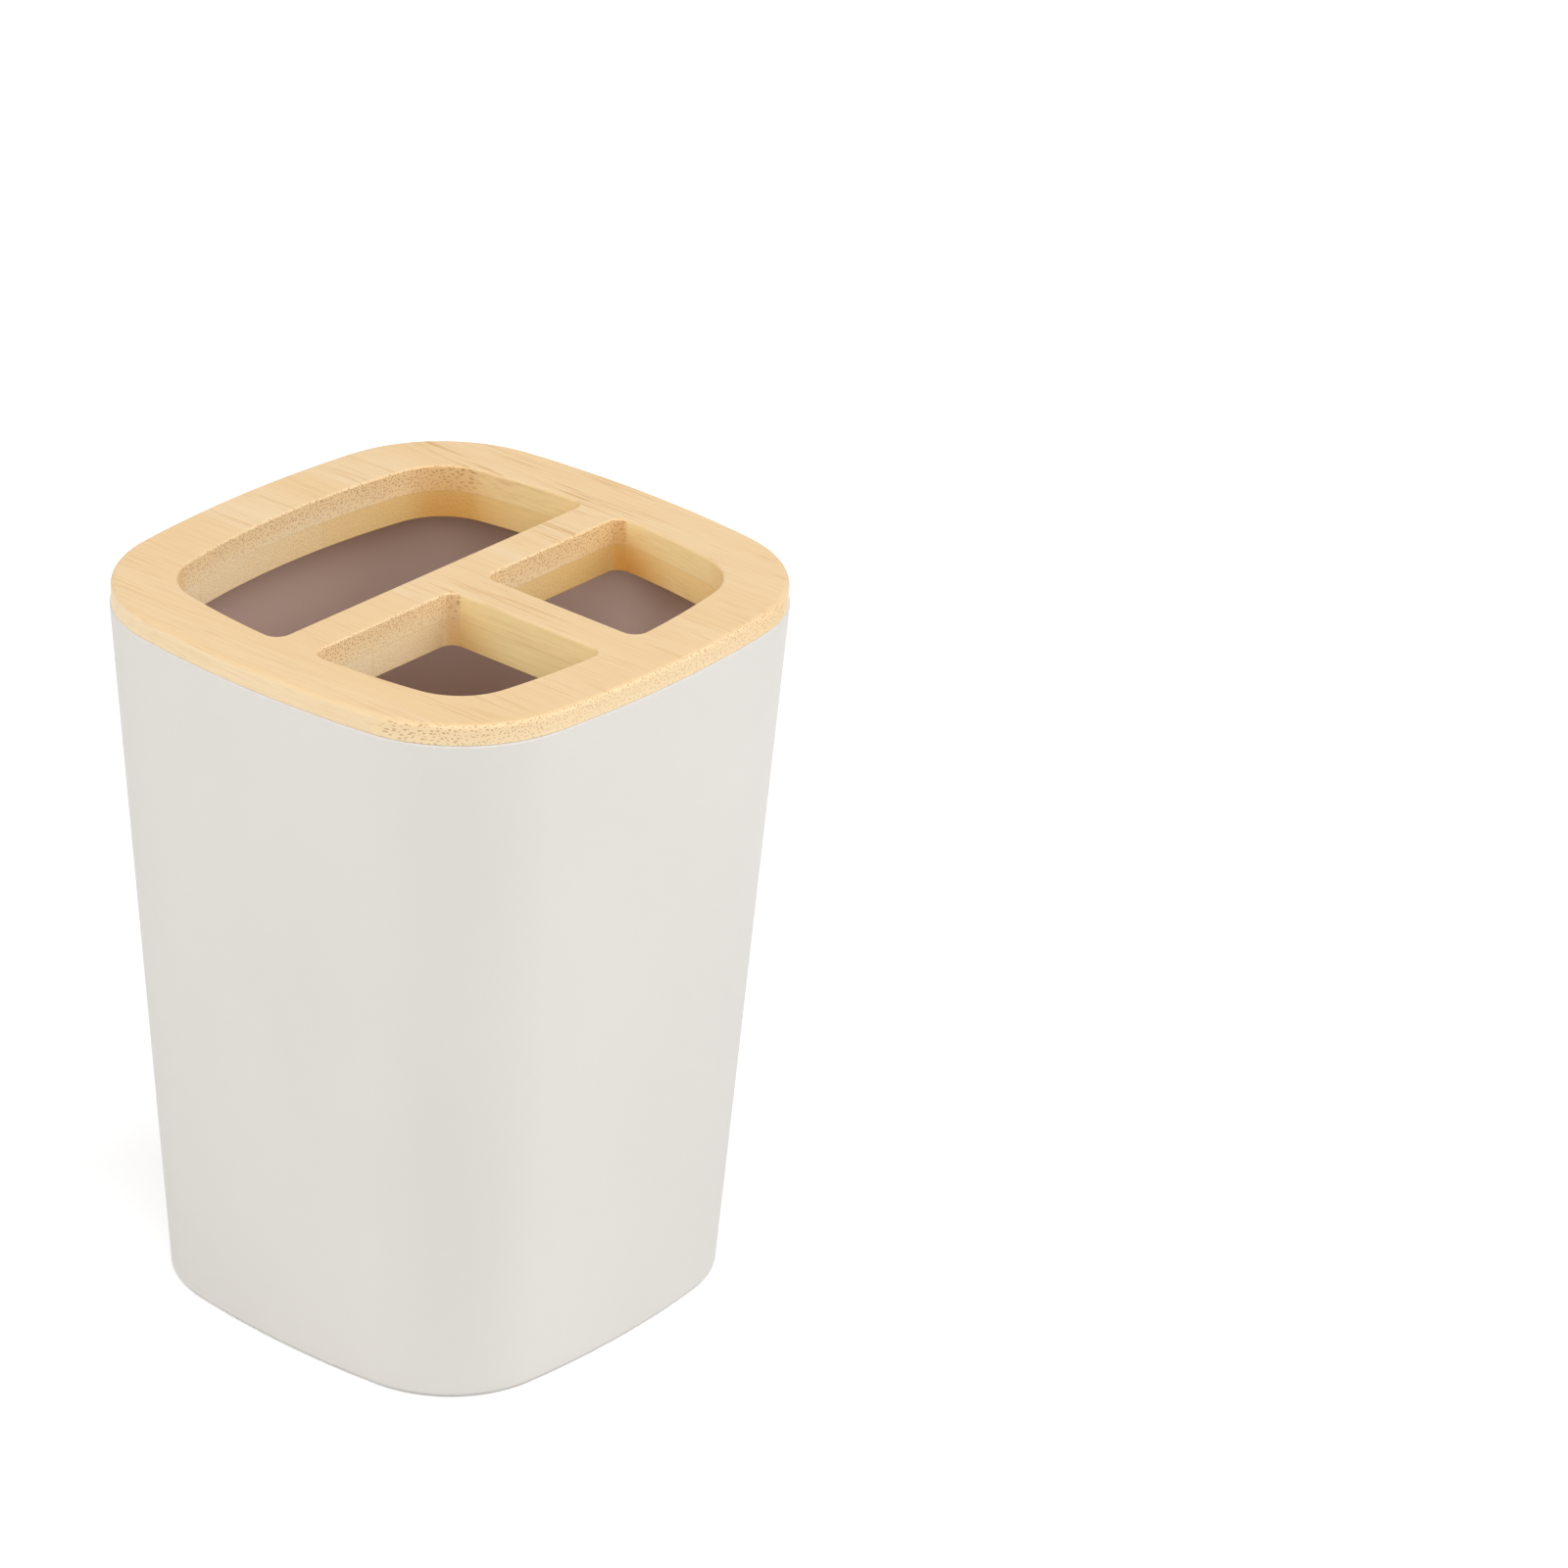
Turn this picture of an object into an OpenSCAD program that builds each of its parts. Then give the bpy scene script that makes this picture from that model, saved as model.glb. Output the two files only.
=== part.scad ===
// Toothbrush holder: a tapered, soft-cornered plastic cup with a milled bamboo lid.
// The lid is a board of two bamboo plies, each glued up from strips that run front to back.
// The board is rebated underneath, so that its plug drops into the cup's mouth
// and its edge rests on the rim. It lifts straight off for cleaning.
// The long slot at the back takes a tube of toothpaste, the two openings in front take brushes.
// +Z is up and the origin is the centre of the foot. +X runs along the crossbar,
// and +Y points from the brush openings to the slot.

/* [Cup] */
// Width of the cup across its flats at the rim
rim_w = 80.4; // [74:0.1:90]
// Width of the cup across its flats at the foot
foot_w = 67.2; // [58:0.1:76]
// Height of the cup from foot to rim
cup_h = 104.3; // [70:0.1:140]
// Radius of the outward bow of the sides at the rim
side_bow_r = 165; // [110:1:300]
// Radius of the upright corners at the rim
corner_r = 21; // [14:0.1:28]
// Thickness of the wall
wall_t = 2; // [1.2:0.1:3]
// Thickness of the floor
floor_t = 2; // [1.2:0.1:4]
// Radius round the inside of the floor
floor_edge_r = 4; // [1:0.5:8]
// Radius round the outside of the foot
foot_edge_r = 0.8; // [0.3:0.1:3]
// Width of the flat ring that the cup stands on
foot_ring_w = 4; // [2:0.5:8]
// Depth of the recess inside the foot ring
foot_recess = 0.8; // [0.3:0.1:1.5]
// Radius that softens both edges of the rim
rim_edge_r = 0.5; // [0.2:0.1:0.6]

/* [Lid] */
// Thickness of the whole board
board_t = 8; // [6.5:0.1:10]
// Thickness of the upper ply
upper_ply_t = 3.9; // [3.4:0.1:4.6]
// Height of the board's edge that shows above the rim
flange_t = 3; // [2.4:0.1:4.5]
// Step in from the cup's side to the lid's edge
lid_inset = 0.2; // [0:0.1:0.5]
// Gap between the plug and the wall of the mouth where it is least
plug_gap = 0.4; // [0.2:0.1:0.8]
// Radius round the top edge of the lid
lid_edge_r = 0.8; // [0.2:0.1:2]
// Bevel round the lower edge of the plug
plug_bevel = 0.5; // [0.2:0.1:1]

/* [Openings] */
// Width of bamboo left between the lid's edge and the openings
margin_w = 9.1; // [7:0.1:12]
// Width of the bar between the slot and the brush openings
crossbar_w = 6.3; // [4:0.1:10]
// Width of the bar between the two brush openings
middle_bar_w = 6.5; // [4:0.1:10]
// Radius of the bow of the openings' outer sides
opening_bow_r = 118; // [90:1:250]
// Radius of the openings' outer corners
opening_corner_r = 9.6; // [6:0.1:16]
// Radius of the openings' corners at the bars
bar_corner_r = 2; // [1:0.1:4]
// Radius that softens the openings' top edge
opening_edge_r = 0.4; // [0.1:0.1:0.8]

/* [Bamboo strips] */
// Width of the centre strip of each ply
strip_w = 25.6; // [21:0.1:28]
// How far the upper ply's centre strip lies to the right of the lid's middle
upper_centre_off = 3.6; // [2:0.1:6]
// How far the lower ply's centre strip lies to the left of the lid's middle
lower_centre_off = 6; // [4:0.1:8]
// Distance from the openings to the seam of the upper ply's trimmed strip at the left
upper_trim_gap = 3.9; // [1.5:0.1:5]
// Distance from the openings to the seam of the lower ply's trimmed strip at the right
lower_trim_gap = 1.5; // [1:0.1:2.5]

/* [Hidden] */

// Colours of the moulded cup and of the two plies
cup_colour = [0.86, 0.84, 0.81];
upper_ply_colour = [0.94, 0.83, 0.65];
lower_ply_colour = [0.86, 0.76, 0.56];

// Steps along a bowed side, a corner, a corner at a bar and a rounded edge
side_steps = 10;
corner_steps = 12;
bar_corner_steps = 5;
edge_steps = 4;
quarter_turn = [for (i = [0 : edge_steps]) 90 * i / edge_steps];

// How far a cutter runs past the surface that it cuts
overrun = 1;
// Points nearer together than this are one point
same_point = 0.001;

// Levels of the lid
lid_top_z = cup_h + flange_t;
lid_under_z = lid_top_z - board_t;
glue_z = lid_top_z - upper_ply_t;
// Level of the cup's floor inside
floor_z = foot_recess + floor_t;
// Half widths of the lid and of the outline that bounds its openings
lid_half = rim_w / 2 - lid_inset;
opening_half = lid_half - margin_w;

// A point turned about the origin
function turned(p, angle) =
    [p[0] * cos(angle) - p[1] * sin(angle), p[0] * sin(angle) + p[1] * cos(angle)];

// Where the bow of a side has its centre, measured along the side's own axis
function bow_centre(half, bow_r) = half - bow_r;

// Distance from both axes of the centre of a corner arc that runs smoothly into the bows
function corner_centre(half, bow_r, r) =
    let (s = bow_centre(half, bow_r))
    (s + sqrt(2 * (bow_r - r) ^ 2 - s ^ 2)) / 2;

// Half the angle that the bow of a side spans
function bow_lean(half, bow_r, r) =
    let (c = corner_centre(half, bow_r, r))
    atan2(c, c - bow_centre(half, bow_r));

// An outline is a list of arcs, each with its centre, radius, first and last angle, and steps.
// A straight stretch joins two arcs whose ends lie apart.
function bowed_square(half, bow_r, r) =
    let (s = bow_centre(half, bow_r), c = corner_centre(half, bow_r, r), lean = bow_lean(half, bow_r, r))
    [for (turn = [0 : 90 : 270]) each [
        [turned([s, 0], turn), bow_r, turn - lean, turn + lean, side_steps],
        [turned([c, c], turn), r, turn + lean, turn + 90 - lean, corner_steps]
    ]];

// The same outline scaled about the origin
function scaled(arcs, k) = [for (a = arcs) [a[0] * k, a[1] * k, a[2], a[3], a[4]]];

// The points of an outline that is grown by some distance, counter-clockwise
function outline_points(arcs, grow = 0) =
    let (all = [
        for (a = arcs)
        for (i = [0 : a[4]])
        let (angle = a[2] + (a[3] - a[2]) * i / a[4])
        a[0] + (a[1] + grow) * [cos(angle), sin(angle)]
    ])
    [for (i = [0 : len(all) - 1]) if (norm(all[i] - all[(i + len(all) - 1) % len(all)]) > same_point) all[i]];

// An outline's points lifted to a level
function ring(points, z) = [for (p = points) [p[0], p[1], z]];

// Size of the cup's section at a level, as a share of its size at the rim
function taper_share(z) = (foot_w + (rim_w - foot_w) * z / cup_h) / rim_w;

rim_outline = bowed_square(rim_w / 2, side_bow_r, corner_r);

// The cup's section at a level, drawn in by some distance
function cup_ring(z, inset) = ring(outline_points(scaled(rim_outline, taper_share(z)), -inset), z);

// Closed solid through a stack of rings that all have the same number of points
module loft(rings) {
    n = len(rings[0]);
    top = (len(rings) - 1) * n;
    sides = [
        for (k = [0 : len(rings) - 2])
        for (i = [0 : n - 1])
        let (a = k * n + i, b = k * n + (i + 1) % n)
        each [[a, a + n, b + n], [a, b + n, b]]
    ];
    floor_face = [for (i = [0 : n - 1]) i];
    top_face = [for (i = [n - 1 : -1 : 0]) top + i];
    polyhedron(points = [for (r = rings) each r], faces = concat([floor_face], sides, [top_face]));
}

// Outside of the cup: rounded at the foot, straight up the taper, softened at the rim
module cup_outside() {
    loft(concat(
        [for (t = quarter_turn) cup_ring(foot_edge_r * (1 - cos(t)), foot_edge_r * (1 - sin(t)))],
        [for (t = quarter_turn) cup_ring(cup_h - rim_edge_r * (1 - sin(t)), rim_edge_r * (1 - cos(t)))]
    ));
}

// Hollow of the cup, open at the top
module cup_hollow() {
    mouth = cup_ring(cup_h, wall_t - rim_edge_r);
    loft(concat(
        [for (t = quarter_turn)
            cup_ring(floor_z + floor_edge_r * (1 - cos(t)), wall_t + floor_edge_r * (1 - sin(t)))],
        [for (t = quarter_turn)
            cup_ring(cup_h - rim_edge_r * (1 - sin(t)), wall_t - rim_edge_r * (1 - cos(t)))],
        [[for (p = mouth) p + [0, 0, overrun]]]
    ));
}

// Shallow recess that leaves a flat ring to stand on
module foot_recess_cut() {
    translate([0, 0, -overrun])
        linear_extrude(height = foot_recess + overrun)
            polygon(outline_points(scaled(rim_outline, taper_share(0)), -foot_edge_r - foot_ring_w));
}

// The moulded cup
module cup() {
    color(cup_colour)
        difference() {
            cup_outside();
            cup_hollow();
            foot_recess_cut();
        }
}

// Part of the board that shows above the rim, with its top edge rounded
module flange() {
    loft(concat(
        [ring(outline_points(rim_outline, -lid_inset), cup_h)],
        [for (t = quarter_turn)
            ring(outline_points(rim_outline, -lid_inset - lid_edge_r * (1 - cos(t))),
                lid_top_z - lid_edge_r * (1 - sin(t)))]
    ));
}

// Part of the board that drops into the mouth, with its lower edge bevelled
module plug() {
    mouth_outline = scaled(rim_outline, taper_share(lid_under_z));
    inset = wall_t + plug_gap;
    loft([
        ring(outline_points(mouth_outline, -inset - plug_bevel), lid_under_z),
        ring(outline_points(mouth_outline, -inset), lid_under_z + plug_bevel),
        ring(outline_points(mouth_outline, -inset), cup_h + flange_t / 2)
    ]);
}

// Arcs that bound the three openings. Their outer sides are bowed like the lid's edge,
// and the corners at the bars have a small radius of their own.
opening_s = bow_centre(opening_half, opening_bow_r);
opening_c = corner_centre(opening_half, opening_bow_r, opening_corner_r);
opening_lean = bow_lean(opening_half, opening_bow_r, opening_corner_r);
bar_corner_reach = opening_bow_r - bar_corner_r;

// Offsets from the axes of the bar corners' centres, and the angles at which they meet the bows
crossbar_off = crossbar_w / 2 + bar_corner_r;
crossbar_lean = asin(crossbar_off / bar_corner_reach);
crossbar_end = opening_s + bar_corner_reach * cos(crossbar_lean);
middle_bar_off = middle_bar_w / 2 + bar_corner_r;
middle_bar_lean = asin(middle_bar_off / bar_corner_reach);
middle_bar_end = opening_s + bar_corner_reach * cos(middle_bar_lean);

slot_outline = [
    [[opening_s, 0], opening_bow_r, crossbar_lean, opening_lean, side_steps],
    [[opening_c, opening_c], opening_corner_r, opening_lean, 90 - opening_lean, corner_steps],
    [[0, opening_s], opening_bow_r, 90 - opening_lean, 90 + opening_lean, side_steps],
    [[-opening_c, opening_c], opening_corner_r, 90 + opening_lean, 180 - opening_lean, corner_steps],
    [[-opening_s, 0], opening_bow_r, 180 - opening_lean, 180 - crossbar_lean, side_steps],
    [[-crossbar_end, crossbar_off], bar_corner_r, 180 - crossbar_lean, 270, bar_corner_steps],
    [[crossbar_end, crossbar_off], bar_corner_r, 270, 360 + crossbar_lean, bar_corner_steps]
];

right_brush_outline = [
    [[opening_s, 0], opening_bow_r, -opening_lean, -crossbar_lean, side_steps],
    [[crossbar_end, -crossbar_off], bar_corner_r, -crossbar_lean, 90, bar_corner_steps],
    [[middle_bar_off, -crossbar_off], bar_corner_r, 90, 180, bar_corner_steps],
    [[middle_bar_off, -middle_bar_end], bar_corner_r, 180, 270 + middle_bar_lean, bar_corner_steps],
    [[0, -opening_s], opening_bow_r, 270 + middle_bar_lean, 270 + opening_lean, side_steps],
    [[opening_c, -opening_c], opening_corner_r, 270 + opening_lean, 360 - opening_lean, corner_steps]
];

// Cutter for one opening, straight through the board and flared at its top edge
module opening_cut(outline) {
    loft(concat(
        [ring(outline_points(outline), lid_under_z - overrun)],
        [for (t = quarter_turn)
            ring(outline_points(outline, opening_edge_r * (1 - cos(t))),
                lid_top_z - opening_edge_r * (1 - sin(t)))],
        [ring(outline_points(outline, opening_edge_r), lid_top_z + overrun)]
    ));
}

// The whole milled board, before it is told apart into plies and strips
module board() {
    difference() {
        union() {
            flange();
            plug();
        }
        opening_cut(slot_outline);
        opening_cut(right_brush_outline);
        mirror([1, 0, 0]) opening_cut(right_brush_outline);
    }
}

// Where the seams of each ply lie, from left to right.
// The outer two values lie clear of the board.
board_side = lid_half + overrun;
upper_seams = [
    -board_side,
    -opening_half - upper_trim_gap,
    upper_centre_off - strip_w / 2,
    upper_centre_off + strip_w / 2,
    board_side
];
lower_seams = [
    -board_side,
    -lower_centre_off - strip_w / 2,
    -lower_centre_off + strip_w / 2,
    opening_half + lower_trim_gap,
    board_side
];

// What the milled board leaves of one strip, between two seams and two levels
module strip(seam_list, index, low_z, high_z) {
    intersection() {
        board();
        translate([seam_list[index], -board_side, low_z])
            cube([seam_list[index + 1] - seam_list[index], 2 * board_side, high_z - low_z]);
    }
}

module upper_ply_strip(index) {
    color(upper_ply_colour) strip(upper_seams, index, glue_z, lid_top_z + overrun);
}

module lower_ply_strip(index) {
    color(lower_ply_colour) strip(lower_seams, index, lid_under_z - overrun, glue_z);
}

cup();
upper_ply_strip(0);  // upper_ply_trim_strip
upper_ply_strip(1);  // upper_ply_left_strip
upper_ply_strip(2);  // upper_ply_centre_strip
upper_ply_strip(3);  // upper_ply_right_strip
lower_ply_strip(0);  // lower_ply_left_strip
lower_ply_strip(1);  // lower_ply_centre_strip
lower_ply_strip(2);  // lower_ply_right_strip
lower_ply_strip(3);  // lower_ply_trim_strip
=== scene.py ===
"""Looks of a toothbrush holder: a matt moulded cup under a milled lid of laminated bamboo.

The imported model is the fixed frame. The cup and the eight glued strips of the lid are modelled
here with softened edges, and each takes the place of its node.
"""

import logging
import math
from collections.abc import Callable, Iterator, Sequence
from contextlib import contextmanager
from dataclasses import dataclass, replace
from enum import Enum, IntEnum

import bmesh
import bpy
from mathutils import Matrix, Vector


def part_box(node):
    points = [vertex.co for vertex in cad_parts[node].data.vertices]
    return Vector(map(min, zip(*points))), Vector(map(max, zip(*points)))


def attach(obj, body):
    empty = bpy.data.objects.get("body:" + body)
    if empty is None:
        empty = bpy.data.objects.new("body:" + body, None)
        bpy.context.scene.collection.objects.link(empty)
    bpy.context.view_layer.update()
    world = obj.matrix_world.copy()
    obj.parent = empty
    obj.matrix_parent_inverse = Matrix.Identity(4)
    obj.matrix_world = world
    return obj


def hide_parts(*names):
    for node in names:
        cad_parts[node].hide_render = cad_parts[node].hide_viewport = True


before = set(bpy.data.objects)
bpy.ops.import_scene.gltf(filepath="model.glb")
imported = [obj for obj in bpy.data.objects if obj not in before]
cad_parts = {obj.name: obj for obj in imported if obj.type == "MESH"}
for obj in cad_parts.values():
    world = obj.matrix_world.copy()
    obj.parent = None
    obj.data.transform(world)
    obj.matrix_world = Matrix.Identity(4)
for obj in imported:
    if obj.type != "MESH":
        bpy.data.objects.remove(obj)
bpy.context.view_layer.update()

MM = 0.001
ACROSS = Vector((1.0, 0.0, 0.0))
UP = Vector((0.0, 0.0, 1.0))
# Points nearer together than this are one point, and levels this close are one level
NEAR = 0.02 * MM
# The same for the points that an operator merges
MERGED = 0.1 * NEAR
# Further out than any part of the holder
FAR = 1000 * MM
# Size of the plane that a drawing's first point is made from
START_W = 1 * MM
# Edges sharper than the first angle are brinks, and those up to the second are shaded round
BRINK_ANGLE = 50
ROUND_ANGLE = 35
FULL_TURN = 360
QUARTER_TURN = 90
# The screen's curve of brightness: straight up to the bend, and a power above it
CURVE_BEND = 0.04045
CURVE_SLOPE = 12.92
CURVE_SHIFT = 0.055
CURVE_POWER = 2.4
FULL_LEVEL = 255
# What a noise is on average
NOISE_MEAN = 0.5
# How far the pattern of a strip is shifted for each step of its seed
SEED_SHIFT = 7.31

log = logging.getLogger("holder")

Colour = tuple[float, float, float]
# Where a smooth step starts, and where it is full
Span = tuple[float, float]


class Body(Enum):
    """Bodies of the frame that pieces ride on."""

    CUP = "cup"
    LID = "lid"


class Slot(Enum):
    """Names of the record's material slots, kept with the plies; the pieces take no finish from them."""

    PLASTIC = "cup_plastic"
    UPPER_PLY = "bamboo_upper_ply"
    LOWER_PLY = "bamboo_lower_ply"


class Part(Enum):
    """Parts of a mesh that are picked, by the names of the select modes."""

    EDGE = "EDGE"
    FACE = "FACE"


class Way(IntEnum):
    """Directions that the sides of an outline face, in degrees from +X towards +Y."""

    RIGHT = 0
    BACK = 90
    LEFT = 180
    FRONT = 270


def linear_level(level: float) -> float:
    """One channel of a screen colour with the screen's curve undone.

    Args:
        level: The channel, from 0 to 255.

    Returns:
        The channel that shaders take, from 0 to 1.
    """
    share = level / FULL_LEVEL
    if share <= CURVE_BEND:
        return share / CURVE_SLOPE
    return ((share + CURVE_SHIFT) / (1 + CURVE_SHIFT)) ** CURVE_POWER


def linear(colour: Colour) -> tuple[float, float, float, float]:
    """A screen colour as the linear colour that shaders take, with an alpha of 1."""
    red, green, blue = (linear_level(level) for level in colour)
    return (red, green, blue, 1.0)


def direction(azimuth: float, elevation: float) -> Vector:
    """The way from the object to something that stands round it.

    Args:
        azimuth: Degrees round from the front, towards the right.
        elevation: Degrees above the level.

    Returns:
        The way, one unit long.
    """
    turn, rise = math.radians(azimuth), math.radians(elevation)
    return Vector((math.sin(turn) * math.cos(rise), -math.cos(turn) * math.cos(rise), math.sin(rise)))


@dataclass(frozen=True)
class Arc:
    """A round stretch of an outline, between two angles in degrees from +X towards +Y."""

    centre: tuple[float, float]
    radius: float
    first: float
    last: float
    steps: int

    def point(self, angle: float) -> Vector:
        """Where the arc is at an angle.

        Args:
            angle: Degrees from +X towards +Y.

        Returns:
            The point, at level zero.
        """
        turn = math.radians(angle)
        return Vector((
            self.centre[0] + self.radius * math.cos(turn),
            self.centre[1] + self.radius * math.sin(turn),
            0.0,
        ))

    def mirrored(self) -> "Arc":
        """The same arc on the other side of the plane through the middle bar."""
        x, y = self.centre
        return Arc((-x, y), self.radius, Way.LEFT - self.last, Way.LEFT - self.first, self.steps)


@dataclass(frozen=True)
class BowedSquare:
    """A square with outward bowed sides that run smoothly into round corners."""

    half: float
    bow_r: float
    corner_r: float
    side_steps: int = 16
    corner_steps: int = 24

    @property
    def bow_centre(self) -> float:
        """Where the bow of a side has its centre, along the side's own axis."""
        return self.half - self.bow_r

    @property
    def corner_centre(self) -> float:
        """Distance of a corner arc's centre from both axes."""
        reach = self.bow_r - self.corner_r
        return (self.bow_centre + math.sqrt(2 * reach**2 - self.bow_centre**2)) / 2

    @property
    def lean(self) -> float:
        """Half the angle that the bow of a side spans, in degrees."""
        return math.degrees(math.atan2(self.corner_centre, self.corner_centre - self.bow_centre))

    def scaled(self, share: float) -> "BowedSquare":
        """The same outline scaled about the origin."""
        half, bow_r, corner_r = (size * share for size in (self.half, self.bow_r, self.corner_r))
        return replace(self, half=half, bow_r=bow_r, corner_r=corner_r)

    def grown(self, distance: float) -> "BowedSquare":
        """The outline moved outward everywhere by a distance."""
        half, bow_r, corner_r = (size + distance for size in (self.half, self.bow_r, self.corner_r))
        return replace(self, half=half, bow_r=bow_r, corner_r=corner_r)

    def side(self, way: Way, first: float, last: float) -> Arc:
        """Part of the bow of a side.

        Args:
            way: Direction that the side faces.
            first: First angle of the part, in degrees from the middle of the side.
            last: Last angle of the part, measured the same way.

        Returns:
            The arc.
        """
        turn = math.radians(way)
        centre = (self.bow_centre * math.cos(turn), self.bow_centre * math.sin(turn))
        return Arc(centre, self.bow_r, way + first, way + last, self.side_steps)

    def corner(self, way: Way) -> Arc:
        """The corner arc that follows a side, counter-clockwise.

        Args:
            way: Direction that the side faces.

        Returns:
            The arc.
        """
        middle = math.radians(way + QUARTER_TURN / 2)
        reach = self.corner_centre * math.sqrt(2)
        centre = (reach * math.cos(middle), reach * math.sin(middle))
        last = way + QUARTER_TURN - self.lean
        return Arc(centre, self.corner_r, way + self.lean, last, self.corner_steps)

    def arcs(self) -> list[Arc]:
        """The whole outline, counter-clockwise.

        Returns:
            Its sides and corners, from the right side on.
        """
        return [
            arc
            for way in Way
            for arc in (self.side(way, -self.lean, self.lean), self.corner(way))
        ]


@dataclass(frozen=True)
class Rounding:
    """How an edge is softened: the radius and the faces across it."""

    radius: float
    steps: int


MeshTest = Callable[[bmesh.types.BMEdge | bmesh.types.BMFace], bool]


def at_level(level: float) -> MeshTest:
    """A test that says whether a whole edge or face lies at a level."""
    return lambda part: all(abs(point.co.z - level) < NEAR for point in part.verts)


def both(first: MeshTest, second: MeshTest) -> MeshTest:
    """A test that passes where two tests pass."""
    return lambda part: first(part) and second(part)


def is_brink(edge: bmesh.types.BMEdge) -> bool:
    """Whether an edge parts two faces that meet at a clear angle."""
    return len(edge.link_faces) == 2 and edge.calc_face_angle() > math.radians(BRINK_ANGLE)


class Workpiece:
    """A mesh on the bench, shaped with the edit tools."""

    def __init__(self, piece: bpy.types.Object, name: str) -> None:
        """Takes an object on, and names it and its mesh.

        Args:
            piece: The object.
            name: Its name.
        """
        self.piece = piece
        self.piece.name = name
        self.piece.data.name = name

    @classmethod
    def drawn(cls, name: str, arcs: Sequence[Arc], level: float) -> "Workpiece":
        """Merges a small plane to the point where an outline starts, and draws the outline from it.

        Args:
            name: Name of the object.
            arcs: The outline, counter-clockwise.
            level: Height of the outline.

        Returns:
            The flat piece.
        """
        start = arcs[0].point(arcs[0].first)
        bpy.ops.object.select_all(action="DESELECT")
        bpy.ops.mesh.primitive_plane_add(size=START_W, location=(start.x, start.y, level))
        drawing = cls(bpy.context.object, name)
        bpy.ops.object.transform_apply(location=True, rotation=True, scale=True)
        with drawing.editing():
            bpy.ops.mesh.select_all(action="SELECT")
            bpy.ops.mesh.merge(type="CENTER")
        drawing.trace(arcs, level)
        return drawing

    def trace(self, arcs: Sequence[Arc], level: float) -> None:
        """Spins the one point of the mesh along an outline, closes the outline and fills it.

        Args:
            arcs: The outline, counter-clockwise, starting at the point.
            level: Height of the outline.
        """
        with self.editing():
            bpy.ops.mesh.select_mode(type="VERT")
            bpy.ops.mesh.select_all(action="SELECT")
            here = arcs[0].point(arcs[0].first)
            for arc in arcs:
                start = arc.point(arc.first)
                if (start - here).length > NEAR:
                    bpy.ops.mesh.extrude_vertices_move(TRANSFORM_OT_translate={"value": start - here})
                # Spin turns clockwise round its axis, so the axis points down
                bpy.ops.mesh.spin(
                    steps=arc.steps,
                    angle=math.radians(arc.last - arc.first),
                    center=(*arc.centre, level),
                    axis=-UP,
                )
                here = arc.point(arc.last)
            bpy.ops.mesh.select_all(action="SELECT")
            bpy.ops.mesh.remove_doubles(threshold=NEAR)
            bpy.ops.mesh.select_all(action="SELECT")
            bpy.ops.mesh.edge_face_add()

    @contextmanager
    def editing(self) -> Iterator[None]:
        """Opens the mesh in edit mode for the lines inside a with statement."""
        self.activate()
        bpy.ops.object.mode_set(mode="EDIT")
        try:
            yield
        finally:
            bpy.ops.object.mode_set(mode="OBJECT")

    def activate(self) -> None:
        """Selects this object alone and makes it the active one."""
        bpy.ops.object.select_all(action="DESELECT")
        self.piece.select_set(True)
        bpy.context.view_layer.objects.active = self.piece

    def pick(self, part: Part, wanted: MeshTest) -> bool:
        """Selects the edges or the faces that pass a test, and nothing else, in edit mode.

        Args:
            part: Whether edges or faces are picked.
            wanted: The test of one of them.

        Returns:
            Whether any passed.
        """
        bpy.ops.mesh.select_mode(type=part.value)
        bpy.ops.mesh.select_all(action="DESELECT")
        mesh = bmesh.from_edit_mesh(self.piece.data)
        parts = mesh.faces if part is Part.FACE else mesh.edges
        picked = [candidate for candidate in parts if wanted(candidate)]
        for passed in picked:
            passed.select_set(True)
        mesh.select_flush_mode()
        bmesh.update_edit_mesh(self.piece.data)
        return bool(picked)

    def raise_face(self, level: float, height: float, share: float = 1.0) -> None:
        """Extrudes the faces at a level along Z, in edit mode, and scales their far end about the Z axis.

        Args:
            level: Where the faces lie.
            height: How far up they go, or down where it is negative.
            share: Size of the far end as a share of the near one.
        """
        self.pick(Part.FACE, at_level(level))
        self.raise_picked(height, share)

    def raise_picked(self, height: float, share: float = 1.0) -> None:
        """Extrudes what is picked along Z, and scales its far end about the Z axis.

        Args:
            height: How far up it goes, or down where it is negative.
            share: Size of the far end as a share of the near one.
        """
        bpy.ops.mesh.extrude_region_move(TRANSFORM_OT_translate={"value": (0, 0, height)})
        if share != 1:
            bpy.ops.transform.resize(value=(share, share, 1), center_override=(0, 0, 0))

    def soften(self, wanted: MeshTest, rounding: Rounding) -> None:
        """Rounds the edges that pass a test.

        Args:
            wanted: The test of one edge.
            rounding: How they are rounded.
        """
        if self.pick(Part.EDGE, wanted):
            bpy.ops.mesh.bevel(
                offset=rounding.radius, segments=rounding.steps, affect="EDGES", clamp_overlap=False
            )

    def face_outwards(self) -> None:
        """Merges doubles and turns every face outwards."""
        with self.editing():
            bpy.ops.mesh.select_mode(type="VERT")
            bpy.ops.mesh.select_all(action="SELECT")
            bpy.ops.mesh.remove_doubles(threshold=MERGED)
            bpy.ops.mesh.normals_make_consistent(inside=False)

    def mill(self, cutter: "Workpiece") -> None:
        """Takes the shape of a cutter out of this piece, and puts the cutter away.

        Args:
            cutter: The cutter.
        """
        self.activate()
        cut = self.piece.modifiers.new("mill", "BOOLEAN")
        cut.operation = "DIFFERENCE"
        cut.solver = "EXACT"
        cut.object = cutter.piece
        bpy.ops.object.modifier_apply(modifier=cut.name)
        bpy.data.objects.remove(cutter.piece)

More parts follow.
